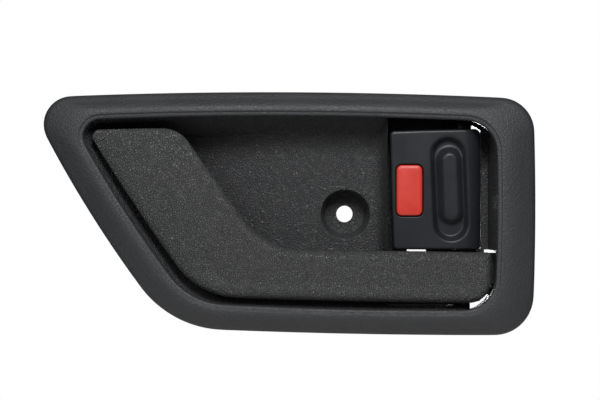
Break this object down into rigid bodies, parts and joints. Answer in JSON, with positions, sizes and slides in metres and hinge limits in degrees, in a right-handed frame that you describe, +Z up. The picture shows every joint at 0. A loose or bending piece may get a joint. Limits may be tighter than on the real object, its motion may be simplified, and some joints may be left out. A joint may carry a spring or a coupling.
{
  "type": "interior car door release handle",
  "caption": "Black moulded interior door release handle with a raised bezel, finger bowl, sprung L-shaped pull and a rocking lock lever with a red tell-tale.",
  "frame": {"origin": "centre of the fixing-screw hole, on the plane where the screw boss seats on the door's inner panel", "axes": "+X along the handle from the wing to the hinge pin, +Y into the door, +Z up along the hinge pin; the visible face looks along -Y"},
  "size_m": [0.1614, 0.0381, 0.0799],
  "materials": {
    "bezel_black": "fine satin grain",
    "bowl_black": "medium leather grain",
    "handle_black": "coarse leather grain",
    "cover_black": "plain moulded",
    "lever_black": "smooth satin",
    "indicator_red": "smooth satin",
    "zinc_steel": "zinc plated",
    "spring_steel": "oiled spring steel",
    "nylon_natural": "natural nylon",
    "acetal_black": "plain moulded acetal",
    "rubber_black": "moulded rubber",
    "foam_grey": "closed-cell foam"
  },
  "bodies": {
    "root": {"bezel_frame": "bezel_black", "trim_seal": "foam_grey", "housing_bowl": "bowl_black", "pivot_pin": "zinc_steel", "pin_push_nut": "spring_steel", "handle_return_spring": "spring_steel", "lever_spacer_washer": "acetal_black", "lower_pivot_bush": "acetal_black", "lock_detent_spring": "spring_steel", "detent_spring_screw": "zinc_steel", "handle_bump_stop_1": "rubber_black", "handle_bump_stop_2": "rubber_black", "bezel_screw_1": "zinc_steel", "bezel_screw_2": "zinc_steel", "bezel_screw_3": "zinc_steel", "bezel_screw_4": "zinc_steel"},
    "handle": {"handle_front_shell": "handle_black", "handle_back_cover": "cover_black", "handle_cover_screw_1": "zinc_steel", "handle_cover_screw_2": "zinc_steel"},
    "lock": {"lock_lever": "lever_black", "lock_indicator": "indicator_red"},
    "latch_clip": {"latch_rod_clip": "nylon_natural"},
    "lock_clip": {"lock_rod_clip": "nylon_natural"}
  },
  "joints": [
    {"name": "handle_pull", "type": "hinge", "parent": "root", "child": "handle", "pos_m": [0.0385, -0.0149, 0], "axis": [0, 0, 1], "range_deg": [0, 22], "stiffness_Nm_per_rad": 0.3, "springref_deg": -17.19, "deforming": ["handle_return_spring"]},
    {"name": "lock_toggle", "type": "hinge", "parent": "root", "child": "lock", "pos_m": [0.0385, -0.0149, 0], "axis": [0, 0, 1], "range_deg": [-16, 0]},
    {"name": "latch_clip_swivel", "type": "hinge", "parent": "handle", "child": "latch_clip", "pos_m": [0.0415, 0.008, -0.0153], "axis": [0, 0, 1], "range_deg": [-40, 40]},
    {"name": "lock_clip_swivel", "type": "hinge", "parent": "lock", "child": "lock_clip", "pos_m": [0.0355, 0.008, 0.00315], "axis": [0, 0, 1], "range_deg": [-40, 40]}
  ]
}
